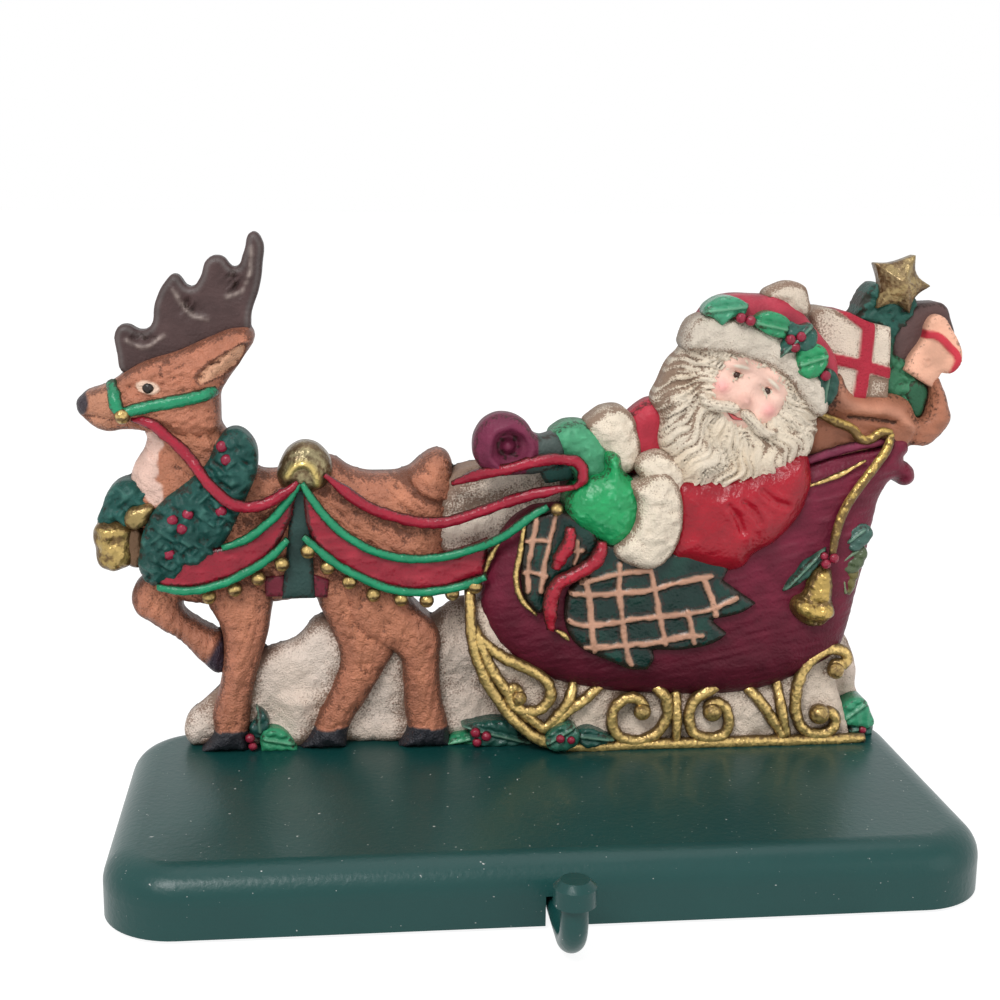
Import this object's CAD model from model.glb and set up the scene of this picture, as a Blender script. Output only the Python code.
import math

import bmesh
import bpy
import numpy as np
from mathutils import Matrix, Vector


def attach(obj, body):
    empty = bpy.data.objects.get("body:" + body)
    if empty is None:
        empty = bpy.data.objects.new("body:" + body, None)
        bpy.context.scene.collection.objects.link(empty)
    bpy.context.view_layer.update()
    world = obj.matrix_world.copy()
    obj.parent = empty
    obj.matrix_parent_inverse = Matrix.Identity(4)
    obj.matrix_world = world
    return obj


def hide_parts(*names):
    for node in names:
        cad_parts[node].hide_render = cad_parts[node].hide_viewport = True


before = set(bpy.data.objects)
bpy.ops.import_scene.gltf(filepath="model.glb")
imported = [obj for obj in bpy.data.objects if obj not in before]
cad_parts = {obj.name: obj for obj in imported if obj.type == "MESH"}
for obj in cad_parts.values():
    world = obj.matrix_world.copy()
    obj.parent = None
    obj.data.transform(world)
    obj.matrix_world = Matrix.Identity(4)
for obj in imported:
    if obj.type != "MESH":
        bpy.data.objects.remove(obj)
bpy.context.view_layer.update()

print("frame loaded")

# Lengths of the relief are in millimetres: x to the right, z up from the
# base's top, and a level out from the flat back.
casting = {"shiftX": -1.0, "backY": 43.9, "baseTop": 14.8, "spread": 0.8, "lowest": -0.3, "thinnest": 0.4,
           "wallShade": 0.6, "kept": 0.58}
formDefaults = {"start": 1.0, "voxel": 0.45, "shift": 0.0, "outline": True, "paint": "satin",
                "edgeWash": 0.6, "washWidth": 1.2}
strandDefaults = {"ends": 0.45, "wash": 0.1, "paint": "satin", "lump": 0.3, "lumpSize": 1.1, "crest": 1.4}
ballDefaults = {"wash": 0.15, "slot": 0.0, "paint": "satin"}
sight = {"x": -46.7, "z": 140.0, "distance": 365.0}


def toFrame(local):
    placed = np.empty_like(local)
    placed[:, 0] = local[:, 0] + casting["shiftX"]
    placed[:, 1] = casting["backY"] - local[:, 2]
    placed[:, 2] = local[:, 1] + casting["baseTop"]
    return placed * 0.001


def linear(colour):
    shares = np.array(colour, dtype=float) / 255.0
    return np.where(shares <= 0.04045, shares / 12.92, ((shares + 0.055) / 1.055) ** 2.4)


def bakedMesh(source):
    bpy.context.scene.collection.objects.link(source)
    graph = bpy.context.evaluated_depsgraph_get()
    final = source.evaluated_get(graph)
    mesh = bpy.data.meshes.new_from_object(final, preserve_all_data_layers=True, depsgraph=graph)
    bpy.data.objects.remove(source)
    return mesh


def finishedMesh(name, work):
    mesh = bpy.data.meshes.new(name)
    work.to_mesh(mesh)
    work.free()
    return mesh


# One row for each vertex, of its co or its normal.
def vertexRows(mesh, kind="co"):
    flat = np.empty(len(mesh.vertices) * 3)
    mesh.vertices.foreach_get(kind, flat)
    return flat.reshape(-1, 3)


# A point with a third value is a corner, the others are smooth.
def addLoop(curve, loop, closed=True):
    spline = curve.splines.new("BEZIER")
    spline.bezier_points.add(len(loop) - 1)
    spline.use_cyclic_u = closed
    for knot, point in zip(spline.bezier_points, loop):
        knot.co = (point[0], point[1], 0.0)
    for knot, point in zip(spline.bezier_points, loop):
        kind = "VECTOR" if len(point) > 2 else "AUTO"
        knot.handle_left_type = kind
        knot.handle_right_type = kind


def outlineCurve(loops, closed=True):
    curve = bpy.data.curves.new("outline", "CURVE")
    curve.dimensions = "2D"
    curve.resolution_u = 5
    for loop in loops:
        addLoop(curve, loop, closed)
    return curve


def filledMesh(loops, low, high):
    curve = outlineCurve(loops)
    curve.fill_mode = "BOTH"
    curve.extrude = (high - low) / 2
    mesh = bakedMesh(bpy.data.objects.new("outline", curve))
    mesh.transform(Matrix.Translation((0.0, 0.0, (high + low) / 2)))
    return mesh


def lineSegments(loops, closed=True):
    curve = outlineCurve(loops, closed)
    curve.fill_mode = "NONE"
    mesh = bakedMesh(bpy.data.objects.new("line", curve))
    points = vertexRows(mesh)[:, :2]
    ends = np.array([tuple(edge.vertices) for edge in mesh.edges])
    bpy.data.meshes.remove(mesh)
    return points[ends[:, 0]], points[ends[:, 1]]


def distanceTo(x, z, segments):
    nearest = np.full(len(x), 1e9)
    for first, second in zip(*segments):
        step = second - first
        length = max(float(step @ step), 1e-9)
        along = limited(((x - first[0]) * step[0] + (z - first[1]) * step[1]) / length)
        away = (x - first[0] - along * step[0]) ** 2 + (z - first[1] - along * step[1]) ** 2
        nearest = np.minimum(nearest, away)
    return np.sqrt(nearest)


def nearLine(x, z, points):
    return distanceTo(x, z, lineSegments([points], closed=False))


def nearLines(x, z, lines):
    nearest = np.full(len(x), 99.0)
    for line in lines:
        nearest = np.minimum(nearest, nearLine(x, z, line))
    return nearest


# Lines without the levels of their points.
def flatLines(lines):
    return [[point[:2] for point in line] for line in lines]


def limited(value):
    return np.clip(value, 0.0, 1.0)


# A soft bump of height 1 where the distance is 0.
def peak(distance, width):
    return np.exp(-(distance / width) ** 2)


# Smooth seeded noise from 0 to 1, with lumps about as wide as the size.
def grain(x, z, size, seed):
    side = 128
    lattice = np.random.RandomState(seed).rand(side, side)
    across = np.asarray(x) / size
    upward = np.asarray(z) / size
    column = np.floor(across).astype(int)
    row = np.floor(upward).astype(int)
    partX = across - column
    partZ = upward - row
    partX = partX * partX * (3 - 2 * partX)
    partZ = partZ * partZ * (3 - 2 * partZ)
    left = column % side
    right = (column + 1) % side
    rows = []
    for step in (0, 1):
        line = (row + step) % side
        rows.append(lattice[line, left] * (1 - partX) + lattice[line, right] * partX)
    return rows[0] * (1 - partZ) + rows[1] * partZ


# Noise drawn out along a direction, given in degrees from the x axis.
def hatch(x, z, angle, length, width, seed):
    turn = np.radians(angle)
    along = x * np.cos(turn) + z * np.sin(turn)
    across = z * np.cos(turn) - x * np.sin(turn)
    return grain(along / length, across / width, 1.0, seed)


# Axes through a centre, turned by an angle in degrees.
def turnedAxes(x, z, centre, angle):
    turn = math.radians(angle)
    along = (x - centre[0]) * math.cos(turn) + (z - centre[1]) * math.sin(turn)
    across = (z - centre[1]) * math.cos(turn) - (x - centre[0]) * math.sin(turn)
    return along, across


def blob(x, z, centre, reachX, reachZ, angle=0.0):
    along, across = turnedAxes(x, z, centre, angle)
    return np.exp(-(along / reachX) ** 2 - (across / reachZ) ** 2)


def blend(first, second, share):
    return first * (1 - share[:, None]) + second * share[:, None]


def tint(colours, colour, share):
    return blend(colours, linear(colour), share)


class Wire:
    # An output socket that takes part in plain arithmetic.
    def __init__(self, tree, socket):
        self.tree = tree
        self.socket = socket

    def maths(self, operation, *values):
        return addNode(self.tree, "ShaderNodeMath", {"operation": operation}, dict(enumerate(values)))

    def __add__(self, other):
        return self.maths("ADD", self, other)

    def __radd__(self, other):
        return self.maths("ADD", other, self)

    def __sub__(self, other):
        return self.maths("SUBTRACT", self, other)

    def __rsub__(self, other):
        return self.maths("SUBTRACT", other, self)

    def __mul__(self, other):
        return self.maths("MULTIPLY", self, other)

    def __rmul__(self, other):
        return self.maths("MULTIPLY", other, self)

    def clamped(self):
        return addNode(self.tree, "ShaderNodeClamp", None, {0: self})


def addNode(tree, kind, settings=None, values=None, output=0):
    node = tree.nodes.new(kind)
    for key, value in (settings or {}).items():
        setattr(node, key, value)
    for key, value in (values or {}).items():
        if isinstance(value, Wire):
            tree.links.new(value.socket, node.inputs[key])
        else:
            node.inputs[key].default_value = value
    return Wire(tree, node.outputs[output]) if len(node.outputs) else None


def mixColours(tree, share, first, second):
    return addNode(tree, "ShaderNodeMix", {"data_type": "RGBA"}, {0: share, 6: first, 7: second}, output=2)


def noiseNode(tree, place, millimetres, detail=2.0):
    scale = 1000.0 / millimetres
    return addNode(tree, "ShaderNodeTexNoise", None, {"Vector": place, "Scale": scale, "Detail": detail})


def emptyMaterial(name):
    material = bpy.data.materials.new(name)
    material.use_nodes = True
    material.node_tree.nodes.clear()
    return material, material.node_tree


def addSurface(tree, values):
    surface = addNode(tree, "ShaderNodeBsdfPrincipled", None, values)
    addNode(tree, "ShaderNodeOutputMaterial", None, {"Surface": surface})


def bumpNode(tree, height, strength, distance):
    values = {"Strength": strength, "Distance": distance, "Height": height}
    return addNode(tree, "ShaderNodeBump", None, values)


def opaque(colour):
    return (*linear(colour), 1.0)


# Brushed paint with a dark wash that stays in the hollows.
def paintMaterial(name, settings):
    material, tree = emptyMaterial(name)
    place = addNode(tree, "ShaderNodeTexCoord", output="Object")
    paint = addNode(tree, "ShaderNodeAttribute", {"attribute_name": "paint"}, output="Color")
    wash = addNode(tree, "ShaderNodeAttribute", {"attribute_name": "wash"}, output="Fac")
    fine = noiseNode(tree, place, settings["speckSize"], 2.0)
    coarse = noiseNode(tree, place, 5.0, 1.0)
    soiled = fine + wash * 0.8 + (coarse - 0.5) * 0.35
    dark = ((soiled - settings["speckLimit"]) * settings["speckSlope"]).clamped() * settings["speckDepth"]
    shade = mixColours(tree, dark, paint, opaque(settings["washColour"]))
    lift = (coarse - 0.5) * settings["mottle"] + 1.0
    tone = addNode(tree, "ShaderNodeVectorMath", {"operation": "SCALE"}, {0: shade, "Scale": lift})
    height = fine * settings["fineBump"] + noiseNode(tree, place, 1.6, 1.0) * settings["softBump"]
    bump = bumpNode(tree, height, 1.0, 0.0003)
    addSurface(tree, {
        "Base Color": tone, "Normal": bump, "Roughness": settings["roughness"],
        "Metallic": settings["metallic"], "Specular IOR Level": settings["sheen"],
        "Coat Weight": settings["coat"], "Coat Roughness": 0.2,
    })
    return material


paintDefaults = {"metallic": 0.0, "coat": 0.0, "sheen": 0.22, "speckSize": 0.7, "speckLimit": 0.78,
                 "speckDepth": 0.8, "speckSlope": 4.0, "washColour": (46, 32, 26)}
paints = {
    "satin": {"roughness": 0.45, "mottle": 0.9, "fineBump": 0.7, "softBump": 0.5},
    "gloss": {
        "roughness": 0.27, "mottle": 0.7, "fineBump": 0.6, "softBump": 0.9, "coat": 0.1, "sheen": 0.32,
    },
    "hide": {
        "roughness": 0.42, "speckSize": 0.5, "speckLimit": 0.7, "speckSlope": 3.2, "sheen": 0.3,
        "washColour": (84, 48, 34), "mottle": 0.8, "fineBump": 1.6, "softBump": 0.7,
    },
    "fleece": {
        "roughness": 0.55, "speckSize": 0.42, "speckLimit": 0.7, "speckSlope": 3.6,
        "washColour": (112, 78, 56), "mottle": 0.35, "fineBump": 1.5, "softBump": 0.7,
    },
    "gold": {
        "roughness": 0.3, "metallic": 0.55, "sheen": 0.5, "speckSize": 0.9, "speckLimit": 0.68,
        "speckDepth": 0.85, "speckSlope": 3.0, "washColour": (84, 60, 36), "mottle": 0.9, "fineBump": 0.8,
        "softBump": 1.2,
    },
}
materials = {}
for name, settings in paints.items():
    materials[name] = paintMaterial("paint_" + name, {**paintDefaults, **settings})


def setPaint(mesh, colours, wash):
    count = len(mesh.vertices)
    flat = np.ones((count, 4))
    flat[:, :3] = colours
    mesh.attributes.new("paint", "FLOAT_COLOR", "POINT").data.foreach_set("color", flat.ravel())
    spread = np.broadcast_to(np.asarray(wash, dtype=float), (count,)).copy()
    mesh.attributes.new("wash", "FLOAT", "POINT").data.foreach_set("value", spread)


def addPiece(name, mesh, material):
    mesh.name = name
    mesh.materials.clear()
    mesh.materials.append(materials[material])
    mesh.polygons.foreach_set("material_index", np.zeros(len(mesh.polygons), dtype=int))
    mesh.polygons.foreach_set("use_smooth", np.ones(len(mesh.polygons), dtype=bool))
    piece = bpy.data.objects.new(name, mesh)
    bpy.context.scene.collection.objects.link(piece)
    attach(piece, "root")
    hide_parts("figure_casting")
    return piece


# Flat backs and walls need few faces, so a collapse takes those out first.
def thinned(mesh):
    block = bpy.data.objects.new("block", mesh)
    collapse = block.modifiers.new("collapse", "DECIMATE")
    collapse.ratio = casting["kept"]
    lighter = bakedMesh(block)
    bpy.data.meshes.remove(mesh)
    return lighter


silhouettes = []


# Outlines are read where a form is highest. Its rounded edge lies lower, so
# the outline widens away from the point of sight to look the same.
def edgeLoops(loops, drop, aside):
    share = casting["spread"] * drop / sight["distance"]
    widened = []
    for loop in loops:
        points = []
        for point in loop:
            x = point[0] + (point[0] - sight["x"]) * share + aside
            z = max(point[1] + (point[1] - sight["z"]) * share, casting["lowest"])
            points.append((x, z, *point[2:]))
        widened.append(points)
    return widened


def remeshed(mesh, voxel):
    block = bpy.data.objects.new("block", mesh)
    remesh = block.modifiers.new("remesh", "REMESH")
    remesh.mode = "VOXEL"
    remesh.voxel_size = voxel
    return bakedMesh(block)


# A form grows from its start to its level. Its edge falls by edge[1] over
# the width edge[0], and the shape function adds the rest. The function gets
# the distance from the outline as reach.
def castForm(name, settings, shape=None):
    settings = {**formDefaults, **settings}
    low = settings["start"]
    level = settings["level"]
    width, drop = settings["edge"]
    loops = edgeLoops(settings["loops"], drop, settings["shift"])
    if low == formDefaults["start"] and settings["outline"]:
        silhouettes.extend(loops)
    mesh = remeshed(filledMesh(loops, low, level), settings["voxel"])
    local = vertexRows(mesh)
    x = local[:, 0]
    z = local[:, 1]
    reach = distanceTo(x, z, lineSegments(loops))
    part = limited(reach / width)
    fall = drop * (1 - np.sqrt(limited(1 - (1 - part) ** 2)))
    colours = np.tile(linear(settings["colour"]), (len(x), 1))
    wash = limited(1 - np.abs(reach - 0.5) / settings["washWidth"]) * settings["edgeWash"]
    rise = np.zeros(len(x))
    if shape:
        rise, wash, colours = shape(x, z, reach, wash, colours)
    wall = limited((level - local[:, 2]) / (level - low))
    colours = colours * (1 - casting["wallShade"] * np.sqrt(wall))[:, None]
    height = level - fall + rise
    thick = np.maximum(height - low, casting["thinnest"])
    local[:, 2] = low + (local[:, 2] - low) * thick / (level - low)
    mesh.vertices.foreach_set("co", toFrame(local).ravel())
    setPaint(mesh, colours, wash)
    return addPiece(name, thinned(mesh), settings["paint"])


# A round strand through points of x, z and level, thinner at both ends.
def castStrand(name, settings):
    settings = {**strandDefaults, **settings}
    mesh = strandMesh(settings)
    local = vertexRows(mesh)
    facing = vertexRows(mesh, "normal")
    lumps = grain(local[:, 0], local[:, 1], settings["lumpSize"], 7) - 0.5
    local = local + facing * (lumps * settings["radius"] * settings["lump"])[:, None]
    mesh.vertices.foreach_set("co", toFrame(local).ravel())
    plain = linear(settings["colour"])
    crest = limited(facing[:, 2] - 0.8) * 5
    colours = blend(np.tile(plain, (len(local), 1)), plain * settings["crest"], crest)
    setPaint(mesh, colours, settings["wash"] + 1.3 * np.clip(0.82 - facing[:, 2], 0, 0.9))
    return addPiece(name, mesh, settings["paint"])


def strandMesh(settings):
    curve = bpy.data.curves.new("strand", "CURVE")
    curve.dimensions = "3D"
    curve.resolution_u = 6
    curve.bevel_depth = settings["radius"]
    curve.bevel_resolution = 3
    curve.use_fill_caps = True
    level = settings["level"]
    for line in settings["lines"]:
        spline = curve.splines.new("BEZIER")
        spline.bezier_points.add(len(line) - 1)
        for knot, point in zip(spline.bezier_points, line):
            knot.co = (point[0], point[1], point[2] if len(point) > 2 else level)
        for knot in spline.bezier_points:
            knot.handle_left_type = "AUTO"
            knot.handle_right_type = "AUTO"
        spline.bezier_points[0].radius = settings["ends"]
        spline.bezier_points[-1].radius = settings["ends"]
    return welded(bakedMesh(bpy.data.objects.new("strand", curve)))


# A curve's end caps don't share points with its tube until they are joined.
def welded(mesh):
    work = bmesh.new()
    work.from_mesh(mesh)
    bmesh.ops.remove_doubles(work, verts=work.verts, dist=0.01)
    bmesh.ops.recalc_face_normals(work, faces=work.faces)
    work.to_mesh(mesh)
    work.free()
    return mesh


# Balls at x, z and level, with a radius of their own as a fourth value. A
# slot is the dark mouth of a round bell.
def castBalls(name, settings):
    settings = {**ballDefaults, **settings}
    work = bmesh.new()
    for centre in settings["centres"]:
        radius = centre[3] if len(centre) > 3 else settings["radius"]
        spot = Matrix.Translation(centre[:3])
        bmesh.ops.create_uvsphere(work, u_segments=18, v_segments=12, radius=radius, matrix=spot)
    mesh = finishedMesh(name, work)
    local = vertexRows(mesh)
    facing = vertexRows(mesh, "normal")
    mesh.vertices.foreach_set("co", toFrame(local).ravel())
    slot = settings["slot"] * peak(facing[:, 1] + 0.25, 0.16)
    under = 1.1 * np.clip(0.62 - facing[:, 2], 0, 0.9)
    setPaint(mesh, linear(settings["colour"]), settings["wash"] + slot + under)
    return addPiece(name, mesh, settings["paint"])


# Reindeer: legs first, then body, head and antlers.

legs = {
    "foreleg_up": {
        "loops": [[(-87.5, 44.5), (-91.5, 40.5), (-91.5, 35.5), (-87, 31.5), (-81, 27.5), (-76, 22),
                   (-71.5, 19.5), (-70.5, 24.5), (-71.5, 28.5), (-76.5, 32), (-80.5, 36), (-78.5, 40),
                   (-78, 46), (-84, 48)]],
        "level": 8.5,
    },
    "foreleg_down": {
        "loops": [[(-75.5, 42), (-74.5, 37.5), (-71.5, 31), (-71, 26), (-72, 17.5), (-74, 9.5),
                   (-73.8, 5.5), (-77, -0.4, 0), (-65.5, -0.4, 0), (-65.6, 5), (-65.2, 9), (-64.5, 15),
                   (-62.5, 23), (-60, 33), (-60.5, 42)]],
        "level": 10.8,
    },
    "hindleg_far": {
        "loops": [[(-50, 43), (-49, 37.5), (-46.5, 31.5), (-44, 24), (-45.5, 17), (-49, 10), (-50.8, 5),
                   (-54, -0.4, 0), (-42.6, -0.4, 0), (-42, 5.4), (-37.5, 13), (-33.5, 20), (-30, 27),
                   (-30, 42)]],
        "level": 10.6,
    },
    "hindleg_near": {
        "loops": [[(-44, 44), (-43.5, 37), (-41, 30), (-35, 26), (-30, 23.5), (-29, 17.5), (-28.5, 9.5),
                   (-28, 5.5), (-30.4, -0.4, 0), (-17.8, -0.4, 0), (-18.2, 6), (-19.6, 12), (-20.4, 22.5),
                   (-20.2, 28.5), (-22.5, 32.5), (-26.5, 36.5), (-29, 42)]],
        "level": 11.5,
    },
}
hideColour = (180, 116, 90)
hoofColour = (44, 44, 50)


def legShape(x, z, reach, wash, colours):
    fur = 0.6 * hatch(x, z, 80, 2.6, 0.7, 5) + 0.4 * grain(x, z, 0.9, 6)
    rise = (fur - 0.5) * 1.2
    wash = wash * (0.5 + fur) + 1.4 * limited(0.48 - fur) + 0.5 * limited((z - 34) / 5) * fur
    hoof = (z < 5.2 + 0.4 * np.sin(x * 0.7)).astype(float)
    colours = tint(colours, (198, 130, 98), limited((reach - 2) / 3) * 0.5)
    colours = tint(colours, hoofColour, hoof)
    return rise + hoof * 0.6 * limited(reach / 1.5), wash * (1 - hoof * 0.7), colours


def raisedLegShape(x, z, reach, wash, colours):
    rise, wash, colours = legShape(x, z, reach, wash, colours)
    hoof = limited((x + 74.8) * 0.8 + (24 - z) * 0.45)
    return rise, wash * (1 - hoof * 0.7), tint(colours, (58, 46, 58), hoof)


for name, leg in legs.items():
    shape = raisedLegShape if name == "foreleg_up" else legShape
    castForm(name, {
        "edge": (5.0, 4.0), "colour": hideColour, "paint": "hide", "washWidth": 1.6, **leg,
    }, shape)

body = {
    "loops": [[(-87.5, 78.5), (-85, 86), (-78, 89.5), (-72, 87), (-71.2, 82), (-70, 79), (-67, 75),
               (-62.5, 69.2), (-58.5, 68.4), (-50, 71), (-45.5, 71.5), (-40.5, 68.6), (-32, 67.6),
               (-27, 69), (-23.5, 72), (-20.5, 73), (-18, 71.5), (-17.3, 67), (-16.5, 63.5), (-17.8, 57.5),
               (-18, 49), (-17.5, 42.5), (-22, 41), (-28.5, 37), (-39, 37), (-49, 38), (-62, 37),
               (-74.5, 37), (-81.5, 38.5), (-87.5, 44), (-89.5, 51.5), (-91, 60.5), (-90.5, 69),
               (-87, 76)]],
    "level": 10.5, "edge": (9.0, 6.0), "colour": hideColour, "paint": "hide", "washWidth": 2.0,
}
# Shoulder, haunch, flank and tail, each with its height, centre and reach.
bodySwells = [
    (1.0, ((-72, 50), 9, 12, 30)), (1.2, ((-30, 46), 12, 11)),
    (0.6, ((-45, 58), 12, 8)), (1.6, ((-22, 66), 4.5, 5.5, 60)),
]
# The hide is darker beside the harness.
harnessLines = [
    [(-46.5, 65), (-37, 58), (-31.5, 56), (-23, 54), (-17.5, 55)],
    [(-50, 58), (-41.5, 50), (-32, 46), (-20, 46)], [(-60, 60), (-66, 57), (-70, 58)],
    [(-74, 38.5), (-62, 43), (-51, 48), (-41, 41), (-29, 37), (-18, 38)],
]


def bodyShape(x, z, reach, wash, colours):
    fur = 0.6 * hatch(x, z, -35, 2.2, 0.6, 11) + 0.4 * grain(x, z, 0.9, 12)
    rise = (fur - 0.5) * 1.2
    for height, spot in bodySwells:
        rise = rise + height * blob(x, z, *spot)
    groove = nearLine(x, z, [(-29, 68), (-27.4, 65), (-25, 62), (-19.5, 60)])
    rise = rise - 1.1 * peak(groove, 0.9)
    wash = wash * (0.5 + fur) + 1.6 * limited(0.49 - fur) + 0.7 * peak(groove, 1.1)
    for line in harnessLines:
        wash = wash + 0.5 * peak(nearLine(x, z, line), 3.0)
    tail = blob(x, z, (-22, 67), 4, 4)
    colours = tint(colours, (202, 134, 100), limited(grain(x, z, 6, 3) - 0.35) * 0.6 + tail * 0.3)
    chest = nearLine(x, z, [(-86.5, 74.5), (-87.5, 70), (-88, 66), (-86, 63.5)])
    pale = limited((3.0 - chest + 1.4 * (grain(x, z, 2.2, 13) - 0.5)) / 0.4)
    return rise, wash * (1 - pale * 0.8), tint(colours, (226, 190, 175), pale)


castForm("deer_body", body, bodyShape)

head = {
    "loops": [[(-102.2, 84.3), (-100.8, 86.5), (-98, 87.6), (-95.5, 88.5), (-92, 90.8), (-87.5, 93.5),
               (-79, 96.3), (-72, 99.4), (-66, 101.3), (-62.6, 100.4), (-65, 94.5), (-68.5, 89.5),
               (-70.3, 86), (-70.4, 82), (-71, 78), (-76, 76), (-81.5, 76.5), (-87, 78), (-92, 78.4),
               (-95.8, 78), (-99.8, 80.2)]],
    "level": 11.0, "edge": (5.0, 4.2), "colour": hideColour, "paint": "hide", "washWidth": 1.6,
    "voxel": 0.4,
}


def headShape(x, z, reach, wash, colours):
    fur = 0.6 * hatch(x, z, 15, 1.9, 0.6, 21) + 0.4 * grain(x, z, 0.8, 22)
    muzzle = limited((-92.5 - x) / 3)
    rise = (fur - 0.5) * 1.3 * (1 - muzzle * 0.7)
    rise = rise + 1.2 * blob(x, z, (-81, 81), 8, 4) - 0.8 * blob(x, z, (-90, 87.5), 3, 2)
    rise = rise + 0.9 * blob(x, z, (-86.5, 90.6), 4.5, 1.2, 15)
    earLine = nearLine(x, z, [(-75, 88.6), (-71, 92.2), (-66.5, 96.5), (-63.8, 99)])
    rise = rise + 1.3 * peak(earLine, 1.3)
    inner = nearLine(x, z, [(-74.3, 89.3), (-70.9, 91.7), (-67.6, 94.8), (-65, 97.5)])
    leafWidth = 2.1 * np.sin(np.clip((z - 88.2) / 10.0, 0.02, 0.98) * math.pi) + 0.1
    innerShare = limited((leafWidth - inner) / 0.4)
    edge = peak(inner - leafWidth - 0.2, 0.35) * (x > -76)
    neck = blob(x, z, (-78.5, 77.5), 9, 4.5)
    wash = (wash * (0.5 + fur) + 1.7 * limited(0.5 - fur) * (1 - muzzle)) * (1 - innerShare) * (1 - neck)
    wash = wash + 0.7 * edge + 1.8 * innerShare * limited(0.55 - fur)
    rise = rise - 1.0 * innerShare + 0.4 * edge
    colours = tint(colours, (205, 150, 118), muzzle * 0.4)
    colours = tint(colours, (214, 162, 130), innerShare)
    ring = blob(x, z, (-86.3, 88.0), 3.1, 1.7, -10)
    pale = limited((ring - 0.42) / 0.12)
    rise = rise + 0.5 * pale
    colours = tint(colours, (238, 205, 182), pale)
    mouth = nearLine(x, z, [(-101, 81.6), (-97.5, 81.2), (-94.5, 80.6)])
    rise = rise - 0.5 * peak(mouth, 0.5)
    wash = wash * (1 - pale) + 0.5 * peak(mouth, 0.5)
    nose = limited((2.5 - np.hypot(x + 101.9, (z - 84.3) * 0.75)) / 0.4)
    rise = rise + 0.6 * nose
    return rise, wash * (1 - nose), tint(colours, (52, 44, 50), nose)


castForm("deer_head", head, headShape)
castBalls("deer_eye", {
    "centres": [(-86.2, 87.9, 11.0)], "radius": 1.35, "colour": (38, 30, 26), "paint": "gloss", "wash": 0.0,
})
castBalls("deer_nostril", {
    "centres": [(-101.0, 84.4, 7.6)], "radius": 0.8, "colour": (120, 110, 112), "paint": "gloss",
    "wash": 0.0,
})

antler = {
    "loops": [[(-88, 91), (-92, 90.5), (-93.4, 95), (-93.2, 100.8), (-91, 101.6), (-88, 100.2),
               (-85.8, 101.2), (-84.6, 106.5), (-82, 111.5), (-80, 113), (-76.5, 110), (-74.5, 112),
               (-72.5, 116.5), (-69.5, 117), (-66.5, 114.5), (-64.5, 118), (-62.5, 122.5), (-60.5, 121),
               (-60.4, 115), (-61.3, 109.5), (-63, 104.5), (-64, 99), (-72, 95), (-79.5, 93)]],
    "level": 6.0, "edge": (2.2, 1.4), "colour": (76, 58, 57), "edgeWash": 0.1,
}


def antlerShape(x, z, reach, wash, colours):
    rise = np.zeros(len(x))
    pale = np.zeros(len(x))
    hollows = [
        ([(-91, 98.0), (-87.5, 96.6), (-83, 99)], (-87.5, 98.6), 3.2, 1.1),
        ([(-80.3, 109.5), (-78, 105.2), (-76, 103.5), (-73, 103)], (-76.7, 106), 2.6, 2.4),
        ([(-62.8, 119), (-63.3, 113), (-65, 109.5), (-68.5, 107.8)], (-67, 111.5), 2.6, 3.4),
    ]
    for line, centre, reachX, reachZ in hollows:
        dip = blob(x, z, centre, reachX, reachZ)
        rough = grain(x, z, 0.9, 31)
        rise = rise - dip * (1.0 + rough * 1.3) * (hatch(x, z, 50, 2.4, 0.7, 33) + 0.3)
        wash = wash + dip * 0.9 * rough
        ridge = peak(nearLine(x, z, line), 0.5)
        rise = rise + ridge * 0.5
        pale = np.maximum(pale, ridge)
    colours = tint(colours, (176, 160, 152), pale * grain(x, z, 0.8, 32) * 0.9)
    colours = tint(colours, (112, 108, 106), peak(reach - 0.9, 0.5) * 0.45)
    return rise, wash, colours


castForm("antler", antler, antlerShape)
print("reindeer made")

# Harness, wreath and bells of the reindeer.

brightGreen = (24, 124, 86)
crimson = (140, 20, 42)

wreath = {
    "loops": [[(-73.5, 71), (-71, 76), (-67.5, 79), (-63.5, 77), (-62, 70.5), (-64.5, 63.5), (-67, 58),
               (-70, 52.5), (-75, 47.5), (-80.5, 44.5), (-85.5, 42.5), (-89, 45.5), (-89, 51.5), (-87, 58),
               (-83.5, 62.5), (-79, 66), (-76, 68.5)]],
    "level": 14.6, "start": 6.5, "edge": (4.5, 3.6), "colour": (28, 74, 68), "edgeWash": 0.4, "voxel": 0.4,
}


def leafyShape(x, z, reach, wash, colours):
    lumps = np.maximum(hatch(x, z, 40, 1.9, 1.0, 41), hatch(x, z, -35, 1.8, 1.0, 42))
    rise = (lumps - 0.6) * 2.4
    wash = wash + limited(0.62 - lumps) * 1.4
    return rise, wash, tint(colours, (84, 136, 124), limited(lumps - 0.78) * 2.0)


castForm("wreath", wreath, leafyShape)
castForm("wreath_far", {
    "loops": [[(-91, 66.5), (-95, 65.3), (-97.6, 60.5), (-98.6, 55.5), (-94, 54.5), (-89, 56), (-86.5, 60),
               (-87, 64.5)]],
    "level": 10.0, "edge": (4.0, 3.2), "colour": (30, 78, 72), "edgeWash": 0.3,
}, leafyShape)
castBalls("wreath_berries", {
    "centres": [(-70, 74.8, 13.4), (-69, 71.8, 14.0), (-70.5, 60, 14.2), (-81.5, 58, 13.8),
                (-79.4, 56, 14.2), (-78, 59.3, 14.0), (-82.5, 50, 13.8)],
    "radius": 1.35, "colour": (142, 32, 58), "paint": "gloss",
})

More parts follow.
